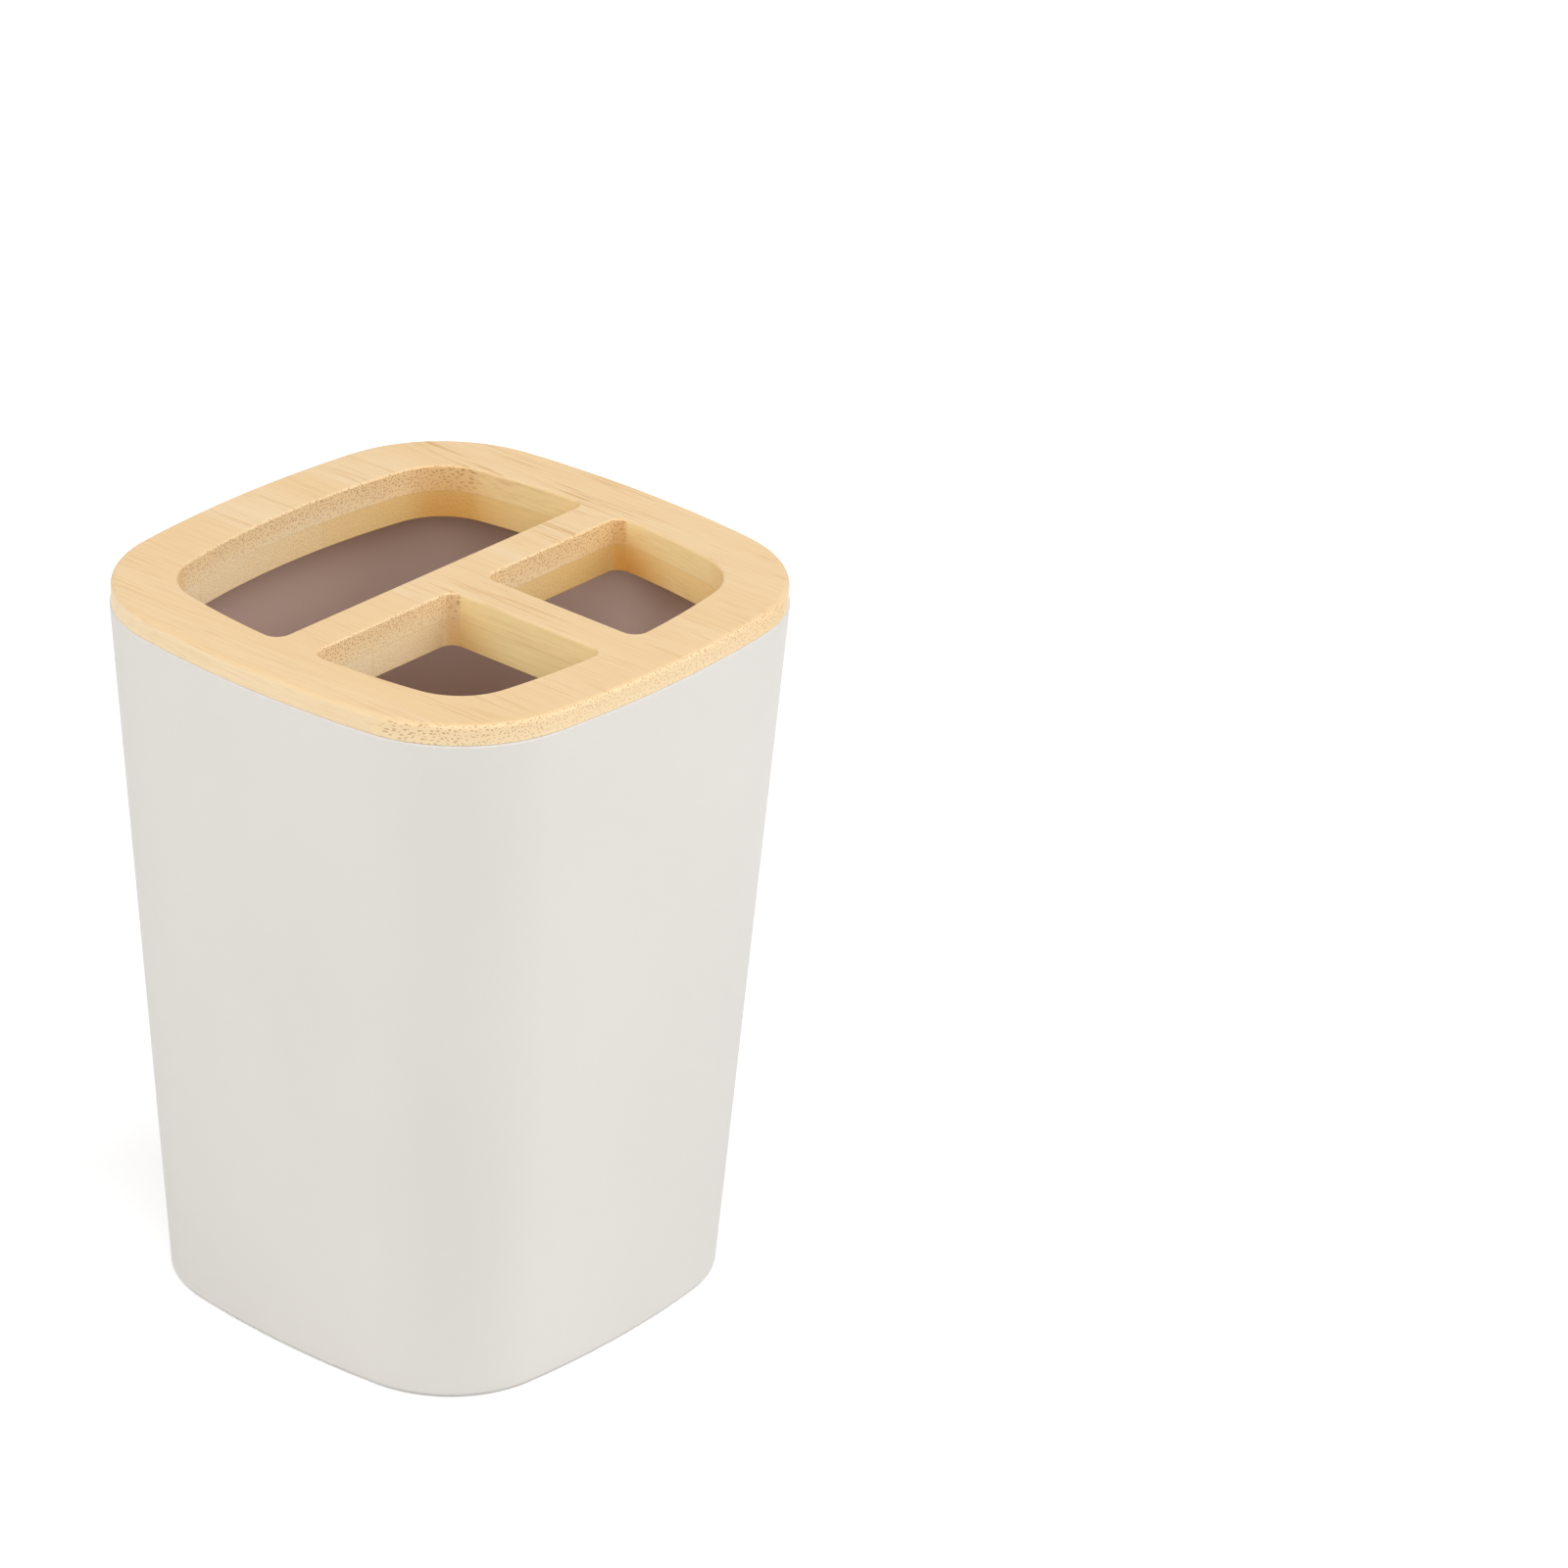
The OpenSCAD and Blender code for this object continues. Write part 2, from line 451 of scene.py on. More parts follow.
    def duplicate(self, name: str) -> "Workpiece":
        """A copy of this piece with a mesh of its own.

        Args:
            name: Name of the copy.

        Returns:
            The copy.
        """
        twin = self.piece.copy()
        twin.data = self.piece.data.copy()
        bpy.context.scene.collection.objects.link(twin)
        return Workpiece(twin, name)

    def saw(self, place: Vector, way: Vector) -> None:
        """Cuts the piece along a plane, drops the side that a direction points to and closes the cut.

        Args:
            place: A point of the plane.
            way: The direction, square to the plane.
        """
        with self.editing():
            bpy.ops.mesh.select_mode(type="FACE")
            bpy.ops.mesh.select_all(action="SELECT")
            bpy.ops.mesh.bisect(
                plane_co=place, plane_no=way, use_fill=True, clear_outer=True, threshold=MERGED
            )

    def smooth(self) -> None:
        """Shades round stretches smooth and keeps flat faces flat."""
        self.activate()
        bpy.ops.object.shade_smooth_by_angle(angle=math.radians(ROUND_ANGLE))
        weighted = self.piece.modifiers.new("weighted", "WEIGHTED_NORMAL")
        weighted.keep_sharp = True
        bpy.ops.object.modifier_apply(modifier=weighted.name)


class Value:
    """A number that varies over a surface: a shader socket with the usual arithmetic."""

    def __init__(self, shader: "Shader", socket: bpy.types.NodeSocket) -> None:
        """Wraps an output socket.

        Args:
            shader: The material's node tree, which takes the Math nodes.
            socket: The output that gives the number.
        """
        self.shader = shader
        self.socket = socket

    def _maths(self, operation: str, *operands: "Value | float") -> "Value":
        """Adds one Math node.

        Args:
            operation: The node's operation.
            operands: Its inputs, in order.

        Returns:
            The node's result.
        """
        node = self.shader.node("ShaderNodeMath", {"operation": operation}, dict(enumerate(operands)))
        return Value(self.shader, node.outputs[0])

    def __add__(self, other: "Value | float") -> "Value":
        """Self plus other."""
        return self._maths("ADD", self, other)

    def __radd__(self, other: float) -> "Value":
        """Other plus self."""
        return self._maths("ADD", other, self)

    def __sub__(self, other: "Value | float") -> "Value":
        """Self minus other."""
        return self._maths("SUBTRACT", self, other)

    def __rsub__(self, other: float) -> "Value":
        """Other minus self."""
        return self._maths("SUBTRACT", other, self)

    def __mul__(self, other: "Value | float") -> "Value":
        """Self times other."""
        return self._maths("MULTIPLY", self, other)

    def __rmul__(self, other: float) -> "Value":
        """Other times self."""
        return self._maths("MULTIPLY", other, self)

    def __truediv__(self, other: "Value | float") -> "Value":
        """Self over other."""
        return self._maths("DIVIDE", self, other)

    def __rtruediv__(self, other: float) -> "Value":
        """Other over self."""
        return self._maths("DIVIDE", other, self)

    def __abs__(self) -> "Value":
        """Size of the number without its sign."""
        return self._maths("ABSOLUTE", self)

    def least(self, other: "Value | float") -> "Value":
        """The smaller of two numbers."""
        return self._maths("MINIMUM", self, other)

    def ramp(self, low: "Value | float", high: "Value | float") -> "Value":
        """Smooth step from 0 at low to 1 at high, or down where low is the larger.

        Args:
            low: Where the step starts.
            high: Where it ends.

        Returns:
            The step, from 0 to 1.
        """
        node = self.shader.node(
            "ShaderNodeMapRange",
            {"interpolation_type": "SMOOTHSTEP"},
            {"Value": self, "From Min": low, "From Max": high, "To Min": 0.0, "To Max": 1.0},
        )
        return Value(self.shader, node.outputs["Result"])


# Three numbers that vary over a surface: a place, or the direction that the surface faces
Triple = tuple[Value, Value, Value]


class Tint:
    """A colour that varies over a surface."""

    def __init__(self, shader: "Shader", socket: bpy.types.NodeSocket) -> None:
        """Wraps an output socket.

        Args:
            shader: The material's node tree.
            socket: The output that gives the colour.
        """
        self.shader = shader
        self.socket = socket

    def toward(self, colour: "Tint | Colour", share: Value | float) -> "Tint":
        """This colour mixed towards another by a share from 0 to 1."""
        return self.shader.mix(self, colour, share)


@dataclass(frozen=True)
class Lumps:
    """A smooth noise: how many lumps it has to a unit each way, its finer layers and their strength."""

    along_x: float
    along_y: float
    along_z: float
    detail: float = 2.0
    roughness: float = 0.5


class Shader:
    """The node tree of one material or world."""

    def __init__(self, owner: bpy.types.Material | bpy.types.World) -> None:
        """Starts an empty node tree.

        Args:
            owner: The material or world that the tree belongs to.
        """
        owner.use_nodes = True
        self.owner = owner
        self.tree = owner.node_tree
        self.tree.nodes.clear()

    def node(
        self,
        kind: str,
        settings: dict[str, object] | None = None,
        inputs: dict[str | int, object] | None = None,
    ) -> bpy.types.Node:
        """Adds a node: its settings come first, then the values and links of its sockets.

        Args:
            kind: The node's type.
            settings: Properties of the node, such as a Math node's operation.
            inputs: A value, a Value, a Tint or an output socket for each named or numbered input.

        Returns:
            The node.
        """
        node = self.tree.nodes.new(kind)
        for name, setting in (settings or {}).items():
            setattr(node, name, setting)
        for key, given in (inputs or {}).items():
            socket = node.inputs[key]
            if isinstance(given, (Value, Tint)):
                self.tree.links.new(given.socket, socket)
            elif isinstance(given, bpy.types.NodeSocket):
                self.tree.links.new(given, socket)
            else:
                socket.default_value = given
        return node

    def parts(self, vector: bpy.types.NodeSocket) -> Triple:
        """X, Y and Z of a vector."""
        x, y, z = self.node("ShaderNodeSeparateXYZ", inputs={0: vector}).outputs
        return Value(self, x), Value(self, y), Value(self, z)

    def place(self) -> Triple:
        """The point on the object.

        Returns:
            Its X, Y and Z, in millimetres.
        """
        scaled = self.node(
            "ShaderNodeVectorMath",
            {"operation": "SCALE"},
            {0: self.node("ShaderNodeTexCoord").outputs["Object"], "Scale": 1 / MM},
        )
        return self.parts(scaled.outputs[0])

    def facing(self) -> Triple:
        """The direction that the surface faces, as its shares along X, Y and Z."""
        return self.parts(self.node("ShaderNodeTexCoord").outputs["Normal"])

    def point(self, x: Value | float, y: Value | float, z: Value | float) -> bpy.types.NodeSocket:
        """A pattern's own coordinates, put together from three numbers."""
        return self.node("ShaderNodeCombineXYZ", inputs={0: x, 1: y, 2: z}).outputs[0]

    def noise(self, lumps: Lumps, place: Triple, shift: tuple[float, float, float] = (0, 0, 0)) -> Value:
        """Smooth noise, about 0.5 on average.

        Args:
            lumps: How coarse it is.
            place: Where it is read.
            shift: How many lumps it is shifted by each way.

        Returns:
            The noise.
        """
        pitches = (lumps.along_x, lumps.along_y, lumps.along_z)
        moved = [
            number * pitch + step if step else number * pitch
            for number, pitch, step in zip(place, pitches, shift)
        ]
        node = self.node(
            "ShaderNodeTexNoise",
            {"noise_dimensions": "3D"},
            {
                "Vector": self.point(*moved),
                "Scale": 1.0,
                "Detail": lumps.detail,
                "Roughness": lumps.roughness,
            },
        )
        return Value(self, node.outputs[0])

    def cells(self, x: Value, y: Value, scatter: float) -> tuple[Value, Value]:
        """Scattered cells, one unit of their coordinates across on average.

        Args:
            x: First coordinate.
            y: Second coordinate.
            scatter: From 0, a square grid, to 1.

        Returns:
            The distance from the nearest cell's middle, and a number of that cell's own.
        """
        node = self.node(
            "ShaderNodeTexVoronoi",
            {"voronoi_dimensions": "2D", "feature": "F1"},
            {"Vector": self.point(x, y, 0.0), "Scale": 1.0, "Randomness": scatter},
        )
        channels = self.node("ShaderNodeSeparateColor", inputs={0: node.outputs["Color"]})
        return Value(self, node.outputs["Distance"]), Value(self, channels.outputs[0])

    def mix(self, first: Tint | Colour, second: Tint | Colour, share: Value | float) -> Tint:
        """Mixes two colours.

        Args:
            first: The colour at a share of 0.
            second: The colour at a share of 1.
            share: How much of the second, from 0 to 1.

        Returns:
            The mixed colour.
        """
        start, end = (colour if isinstance(colour, Tint) else linear(colour) for colour in (first, second))
        # Inputs 6 and 7 and output 2 are the Mix node's colours
        node = self.node("ShaderNodeMix", {"data_type": "RGBA"}, {0: share, 6: start, 7: end})
        return Tint(self, node.outputs[2])

    def seen_directly(self) -> Value:
        """Tells the rays that show a background from those that light the object.

        Returns:
            1 for rays that come straight from the camera, off a mirror or through something clear.
        """
        path = self.node("ShaderNodeLightPath")
        camera = Value(self, path.outputs["Is Camera Ray"])
        glossy = Value(self, path.outputs["Is Glossy Ray"])
        clear = Value(self, path.outputs["Is Transmission Ray"])
        return 1 - (1 - camera) * (1 - glossy) * (1 - clear)

    def surface(
        self, colour: Tint, roughness: Value, height: Value, relief: float, ior: float
    ) -> bpy.types.Material:
        """Finishes the material with a Principled shader and a bump.

        Args:
            colour: Base colour.
            roughness: Roughness.
            height: Relief of the surface, from 0 to 1.
            relief: What a height of 1 stands for, in metres.
            ior: Index of refraction.

        Returns:
            The material.
        """
        bump = self.node("ShaderNodeBump", inputs={"Strength": 1.0, "Distance": relief, "Height": height})
        principled = self.node(
            "ShaderNodeBsdfPrincipled",
            inputs={"Base Color": colour, "Roughness": roughness, "IOR": ior, "Normal": bump.outputs[0]},
        )
        self.node("ShaderNodeOutputMaterial", inputs={"Surface": principled.outputs[0]})
        return self.owner


@dataclass(frozen=True)
class MattPlastic:
    """Off-white plastic from a spark-eroded mould, worn a little where it is handled, and darkened along
    the rim by wear and a painted shadow line under the lid.

    The inside is painted with the warm, darker shade that shows through the openings,
    deepest at mid height. Heights and depths below the rim are in millimetres.
    """

    rim_z: float
    colour: Colour = (232, 228, 221)
    deeper: Colour = (230, 226, 219)
    # Painted shade inside the cup: warm below the rim, deep at mid height, and a lighter shaded tone, low,
    # near the floor
    painted_shade_warm: Colour = (213, 188, 177)
    painted_shade_deep: Colour = (198, 163, 147)
    low: Colour = (222, 209, 200)
    # Colour of the worn foot, and of the rim's band of wear and painted shadow under the lid
    wear_and_rim_shade: Colour = (208, 201, 193)
    # Depths at which the tones of the painted inner shade come in, one over the other
    painted_shade_warm_depths: Span = (0.4, 6.0)
    painted_shade_deep_depths: Span = (16.0, 50.0)
    painted_shade_low_depths: Span = (45.0, 95.0)
    # The inside is where place times direction faced falls off, above the foot's recess
    turned_in: Span = (6.0, 1.0)
    above_recess: Span = (1.0, 2.0)
    # Patterns of the mould and of wear
    cloud: Lumps = Lumps(0.03, 0.03, 0.02)
    grain: Lumps = Lumps(2.6, 2.6, 2.6, detail=3.0, roughness=0.6)
    scuffs: Lumps = Lumps(0.5, 0.5, 2.2, detail=4.0, roughness=0.65)
    cloud_span: Span = (0.3, 0.7)
    foot_scuffs: Span = (0.42, 0.66)
    rim_scuffs: Span = (0.4, 0.7)
    # Where the foot is worn and where the rim is darkened by wear and painted shadow under the lid, and
    # the share of that rim band that is even
    foot_heights: Span = (1.1, 0.0)
    rim_depths: Span = (0.6, 0.2)
    rim_even: float = 0.6
    foot_paling: float = 0.25
    rim_wear_and_shade_share: float = 0.7
    # Roughness of sound plastic, and what the patterns and the wear change
    rough: float = 0.5
    rough_cloud: float = 0.08
    rough_grain: float = 0.06
    rough_rim: float = 0.12
    rough_foot: float = 0.15
    # Relief in metres, and the share of each pattern in it
    relief: float = 0.012 * MM
    high_grain: float = 0.7
    high_cloud: float = 0.3
    high_foot: float = 0.6
    ior: float = 1.48

    def material(self) -> bpy.types.Material:
        """Puts the plastic together.

        Returns:
            The material.
        """
        shader = Shader(bpy.data.materials.new("matt_cup_plastic"))
        place = shader.place()
        x, y, z = place
        depth = self.rim_z - z
        cloud = shader.noise(self.cloud, place)
        grain = shader.noise(self.grain, place)
        scuffs = shader.noise(self.scuffs, place)
        foot_wear = z.ramp(*self.foot_heights) * scuffs.ramp(*self.foot_scuffs)
        # The rim's darker band is partly wear and partly painted shadow in the gap under the lid
        rim_scuffs = self.rim_even + scuffs.ramp(*self.rim_scuffs) * (1 - self.rim_even)
        rim_wear_and_shade = depth.ramp(*self.rim_depths) * rim_scuffs
        facing_x, facing_y, _ = shader.facing()
        inside = (facing_x * x + facing_y * y).ramp(*self.turned_in) * z.ramp(*self.above_recess)
        colour = shader.mix(self.colour, self.deeper, cloud.ramp(*self.cloud_span))
        # Painted shade inside the cup, in three tones that come in with depth
        colour = colour.toward(self.painted_shade_warm, inside * depth.ramp(*self.painted_shade_warm_depths))
        colour = colour.toward(self.painted_shade_deep, inside * depth.ramp(*self.painted_shade_deep_depths))
        colour = colour.toward(self.low, inside * depth.ramp(*self.painted_shade_low_depths))
        colour = colour.toward(self.wear_and_rim_shade, foot_wear * self.foot_paling + rim_wear_and_shade * self.rim_wear_and_shade_share)
        roughness = self.rough + cloud * self.rough_cloud + grain * self.rough_grain
        roughness = roughness - rim_wear_and_shade * self.rough_rim + foot_wear * self.rough_foot
        height = grain * self.high_grain + cloud * self.high_cloud + foot_wear * self.high_foot
        return shader.surface(colour, roughness, height, self.relief, self.ior)


@dataclass(frozen=True)
class StripPlace:
    """Where a strip lies in the lid, in metres: left or right is FAR at the board's outer side."""

    left: float
    right: float
    low: float
    high: float


@dataclass(frozen=True)
class StripTone:
    """What tells a strip's bamboo from the next one's.

    The seed shifts its pattern, and the other three say how warm it is, how strongly
    its streaks show and how much warmer its ends are.
    """

    seed: float
    warmth: float
    figure: float
    end_warmth: float = 0.0


@dataclass(frozen=True)
class Spot:
    """What the material of a strip reads at a point of its surface.

    The depth is 0 at the underside of the ply and 1 at its top. Across, along and up are the
    shares of the direction faced. The last three say how much the point lies inside the square
    of the openings, on a wall there, and on the board's outer side.
    """

    shader: Shader
    place: Triple
    depth: Value
    across: Value
    along: Value
    up: Value
    in_opening: Value
    wall: Value
    outer_side: Value


@dataclass(frozen=True)
class Fibres:
    """How the fibres vary at a point: in broad bands, in groups, in fine lines and in hairs.

    Streaks show where a fine line falls in a group.
    """

    broad: Value
    group: Value
    fine: Value
    hair: Value
    streaks: Value


@dataclass(frozen=True)
class Bundles:
    """The fibre bundles of a strip, which run along Y.

    Where the wood is cut across they show as dots, small and close at the top of the ply,
    larger and sparser below.
    """

    # Distance across, in millimetres, rows through the ply, and how much closer the upper rows lie
    pitch: float = 0.48
    rows: float = 7.6
    crowding: float = 0.3
    scatter: float = 0.85
    # They wander sideways, by millimetres, and up and down, by a share of the ply
    drift: Lumps = Lumps(0.12, 0.012, 1.2, detail=1.0)
    drift_w: float = 2.4
    sway: Lumps = Lumps(0.2, 0.016, 1.1, detail=1.0)
    sway_share: float = 0.3
    slant: float = 0.004
    # Size of the smallest, how much larger the largest is, and how far their edges fade
    size: float = 0.12
    size_range: float = 0.115
    fade_out: float = 0.13
    fade_in: float = 0.03

    def pattern(self, spot: Spot, seed: float) -> tuple[Value, Value]:
        """The bundles as they show at a point.

        Args:
            spot: The point.
            seed: A number of the strip's own.

        Returns:
            How much of a bundle shows, from 0 to 1, and how dark that bundle is.
        """
        shader, depth = spot.shader, spot.depth
        x, y, _ = spot.place
        in_ply = (x, y, depth)
        drift = shader.noise(self.drift, in_ply, (seed, 0, 0)) - NOISE_MEAN
        sway = shader.noise(self.sway, in_ply, (0, seed, 0)) - NOISE_MEAN
        across = (x + drift * self.drift_w + y * self.slant) / self.pitch + seed
        crowded = depth * (1 - self.crowding + depth * self.crowding)
        through = (crowded + sway * self.sway_share) * self.rows
        distance, own = shader.cells(across, through + seed, self.scatter)
        size = self.size + own * self.size_range
        return distance.ramp(size + self.fade_out, size - self.fade_in), own


@dataclass(frozen=True)
class PaintedNookShade:
    """Painted warm shade of a side wall towards its rear corner, strongest low down and at the right."""

    # Where the painted shade on the walls of the slot and of the brush openings comes in, in millimetres
    # along Y, and where the crossbar ends that
    slot_y: Span = (13.0, 26.0)
    slot_share: float = 0.75
    brush_y: Span = (-16.0, -4.0)
    crossbar_y: Span = (0.0, -1.0)
    # How squarely the wall faces along X, and the heights between which the painted shade comes in
    squareness: Span = (0.2, 0.7)
    heights: Span = (107.3, 99.5)
    # Strength at the middle, and what it gains on the way to the right
    middle: float = 0.42
    gain: float = 0.44
    gain_x: Span = (0.0, 25.0)

    def share(self, spot: Spot) -> Value:
        """How much of the painted corner shade shows at a point.

        Args:
            spot: The point.

        Returns:
            The share, from 0 to 1.
        """
        x, y, z = spot.place
        behind_slot = y.ramp(*self.slot_y) * self.slot_share
        behind_brush = y.ramp(*self.brush_y) * y.ramp(*self.crossbar_y)
        strength = self.middle + x.ramp(*self.gain_x) * self.gain
        wall = abs(spot.across).ramp(*self.squareness) * z.ramp(*self.heights) * spot.wall
        return (behind_slot + behind_brush) * strength * wall


@dataclass(frozen=True)
class Bamboo:
    """Sanded bamboo under a thin satin lacquer.

    The fibres are one solid pattern, so they show as dots where the strip is cut across and as
    fine streaks where it is cut along. Places are in millimetres, and a share says how far one
    colour goes towards the next.
    """

    # Cut along the fibres: the lid's outside and the milled walls
    face: Colour
    face_warm: Colour
    milled: Colour
    milled_warm: Colour
    streak: Colour
    # Cut across them: near the skin, deeper down, and warmer to the right
    end_face: Colour
    end_pale: Colour
    end_warm: Colour
    warm_x: Span
    warm_share: float
    dot: Colour
    dot_share: float
    # Painted warm shade in the turns and rear corners of the openings, of light bounced between the walls
    corner: Colour = (236, 170, 76)
    glue: Colour = (206, 168, 116)
    pale: Colour = (254, 230, 190)
    bundles: Bundles = Bundles()
    nook_shade: PaintedNookShade = PaintedNookShade()
    # Distances from both middle planes between which the square of the openings ends
    openings_reach: Span = (32.2, 31.2)
    upright: Span = (0.6, 0.1)
    outer_share: float = 0.4
    # The way that counts as along the fibres, in degrees from +Y towards +X, and how squarely a
    # face has to meet it to be cut across
    lean: float = 25.0
    squareness: Span = (0.5, 0.7)
    # A softened edge faces neither level nor upright, and gets a faint painted highlight
    edge_from: Span = (0.1, 0.35)
    edge_to: Span = (0.99, 0.9)
    edge_highlight_share: float = 0.06
    skin: Span = (-0.1, 0.8)
    # Patterns along the fibres, from broad bands to single hairs, and specks on the ends
    broad: Lumps = Lumps(0.11, 0.012, 0.1)
    group: Lumps = Lumps(0.3, 0.045, 0.3, roughness=0.6)
    fine: Lumps = Lumps(2.3, 0.08, 2.3, detail=3.0, roughness=0.6)
    hair: Lumps = Lumps(5.5, 0.16, 5.5, detail=1.0)
    speck: Lumps = Lumps(1.8, 0.6, 1.8)
    broad_span: Span = (0.3, 0.7)
    line_span: Span = (0.4, 0.8)
    fine_share: float = 0.18
    hair_share: float = 0.1
    speck_span: Span = (0.4, 0.7)
    speck_share: float = 0.2
    # Groups and lines that make a streak, and how much of it a milled wall loses
    streak_groups: Span = (0.42, 0.7)
    streak_lines: Span = (0.44, 0.74)
    milled_calm: float = 0.6
    # The outer side is paler, on the faces cut along by a share that varies with the groups
    pale_face: float = 1.2
    pale_end: float = 0.6
    # Strength of the dots at the ply's underside, that of the faintest, and where they fade in front
    dot_low: float = 0.4
    dot_faintest: float = 0.6
    dot_front: Span = (0.6, 0.95)
    # The glue between the plies makes a finer line than the one between strips
    glue_z: float = 103.4
    glue_fineness: float = 1.4
    glue_w: Span = (0.14, 0.02)
    glue_share: float = 0.26
    glue_hidden: float = 0.6
    # Where a wall turns a corner, painted warm shade of light bounced between the walls
    corner_shade_span: Span = (0.1, 0.5)
    corner_shade_share: float = 0.14
    # Roughness of the lacquer, and what the patterns change
    rough: float = 0.42
    rough_fine: float = 0.14
    rough_end: float = 0.1
    rough_pits: float = 0.1
    rough_edge: float = 0.06
    # Relief in metres, the level of the surface in it and the share of each pattern
    relief: float = 0.03 * MM
    high: float = 0.6
    high_fine: float = 0.3
    high_hair: float = 0.1
    deep_pits: float = 0.6
    deep_streaks: float = 0.1
    # How much shallower the pits are on a softened edge
    edge_calm: float = 0.7
    ior: float = 1.5

    def spot(self, shader: Shader, strip: StripPlace) -> Spot:
        """Reads a point of a strip's surface.

        Args:
            shader: The material's node tree.
            strip: Where the strip lies.

        Returns:
            The point.
        """
        x, y, z = shader.place()
        across, along, up = shader.facing()
        in_opening = abs(x).ramp(*self.openings_reach) * abs(y).ramp(*self.openings_reach)
        upright = abs(up).ramp(*self.upright)
        return Spot(
            shader=shader,
            place=(x, y, z),
            depth=(z - strip.low / MM) / ((strip.high - strip.low) / MM),
            across=across,
            along=along,
            up=up,
            in_opening=in_opening,
            wall=in_opening * upright,
            outer_side=(1 - in_opening) * upright * self.outer_share,
        )

    def fibres(self, spot: Spot, seed: float) -> Fibres:
        """Reads the patterns that run along the fibres.

        Args:
            spot: The point.
            seed: A number of the strip's own.

        Returns:
            The patterns.
        """
        broad, group, fine, hair = (
            spot.shader.noise(lumps, spot.place, (seed, 0, 0))
            for lumps in (self.broad, self.group, self.fine, self.hair)
        )
        streaks = group.ramp(*self.streak_groups) * fine.ramp(*self.streak_lines)
        return Fibres(broad, group, fine, hair, streaks)

    def cut_along(self, spot: Spot, fibres: Fibres, tone: StripTone) -> Tint:
        """Colour of the wood where it is cut along the fibres.

        Args:
            spot: The point.
            fibres: The patterns there.
            tone: The strip's tone.

        Returns:
            The colour.
        """
        milled = spot.shader.mix(self.milled, self.milled_warm, tone.warmth)
        lines = fibres.fine.ramp(*self.line_span) * self.fine_share
        lines = lines + fibres.hair.ramp(*self.line_span) * self.hair_share
        streaks = fibres.streaks * tone.figure * (1 - spot.wall * self.milled_calm)
        colour = spot.shader.mix(self.face, self.face_warm, fibres.broad.ramp(*self.broad_span))
        colour = colour.toward(self.face_warm, tone.warmth)
        colour = colour.toward(milled, spot.wall)
        colour = colour.toward(self.pale, spot.outer_side * (1 + fibres.group) * self.pale_face)
        colour = colour.toward(self.streak, lines)
        return colour.toward(self.streak, streaks)

    def cut_across(self, spot: Spot, bundle: Value, own: Value, tone: StripTone, seed: float) -> Tint:
        """Colour of the wood where it is cut across the fibres.

        Args:
            spot: The point.
            bundle: How much of a bundle shows there.
            own: How dark that bundle is.
            tone: The strip's tone.
            seed: A number of the strip's own.

        Returns:
            The colour.
        """
        x, _, _ = spot.place
        warmth = x.ramp(*self.warm_x) * self.warm_share + tone.end_warmth
        speck = spot.shader.noise(self.speck, spot.place, (0, 0, seed))
        near_skin = spot.depth.ramp(*self.skin)
        dots = bundle * (self.dot_low + near_skin * (1 - self.dot_low))
        dots = dots * (self.dot_faintest + own * (1 - self.dot_faintest))
        dots = dots * (1 - spot.outer_side * abs(spot.along).ramp(*self.dot_front))
        colour = spot.shader.mix(self.end_pale, self.end_face, near_skin)
        colour = colour.toward(self.end_warm, warmth)
        colour = colour.toward(self.face_warm, speck.ramp(*self.speck_span) * self.speck_share)
        colour = colour.toward(self.pale, spot.outer_side * self.pale_end)
        return colour.toward(self.dot, dots * self.dot_share)

    def seams(self, spot: Spot, strip: StripPlace) -> Value:
        """How much of the glue shows at a point.

        Args:
            spot: The point.
            strip: Where the strip lies.

        Returns:
            The share, from 0 to 1.
        """
        x, _, z = spot.place
        beside = (x - strip.left / MM).least(strip.right / MM - x)
        seam = beside.least(abs(z - self.glue_z) * self.glue_fineness)
        return seam.ramp(*self.glue_w) * (self.glue_share - spot.outer_side * self.glue_hidden)

    def material(self, name: str, strip: StripPlace, tone: StripTone) -> bpy.types.Material:
        """Puts the bamboo of one strip together.

        Args:
            name: Name of the material.
            strip: Where the strip lies.
            tone: What tells it from the next one.

        Returns:
            The material.
        """
        shader = Shader(bpy.data.materials.new(name))
        spot = self.spot(shader, strip)
        seed = tone.seed * SEED_SHIFT
        fibres = self.fibres(spot, seed)
        bundle, own = self.bundles.pattern(spot, seed)
        lean = math.radians(self.lean)
        end_grain = abs(spot.along * math.cos(lean) + spot.across * math.sin(lean)).ramp(*self.squareness)
        corner_shade = (abs(spot.across) * abs(spot.along)).ramp(*self.corner_shade_span) * spot.in_opening
        edge = abs(spot.up).ramp(*self.edge_from) * abs(spot.up).ramp(*self.edge_to)
        pits = bundle * end_grain * (1 - edge * self.edge_calm)

        long_face = self.cut_along(spot, fibres, tone)
        end_face = self.cut_across(spot, bundle, own, tone, seed)
        colour = shader.mix(long_face, end_face, end_grain)
        # Painted warm shade where a wall turns a corner
        colour = colour.toward(self.corner, corner_shade * self.corner_shade_share)
        # Painted warm shade towards the rear corners of the openings
        colour = colour.toward(self.corner, self.nook_shade.share(spot))
        colour = colour.toward(self.glue, self.seams(spot, strip))
        # Painted highlight along the softened edges
        colour = colour.toward(self.end_pale, edge * self.edge_highlight_share)

        roughness = self.rough + fibres.fine * self.rough_fine + end_grain * self.rough_end
        roughness = roughness + pits * self.rough_pits - edge * self.rough_edge
        height = self.high + fibres.fine * self.high_fine + fibres.hair * self.high_hair
        height = height - pits * self.deep_pits - fibres.streaks * self.deep_streaks
        return shader.surface(colour, roughness, height, self.relief, self.ior)


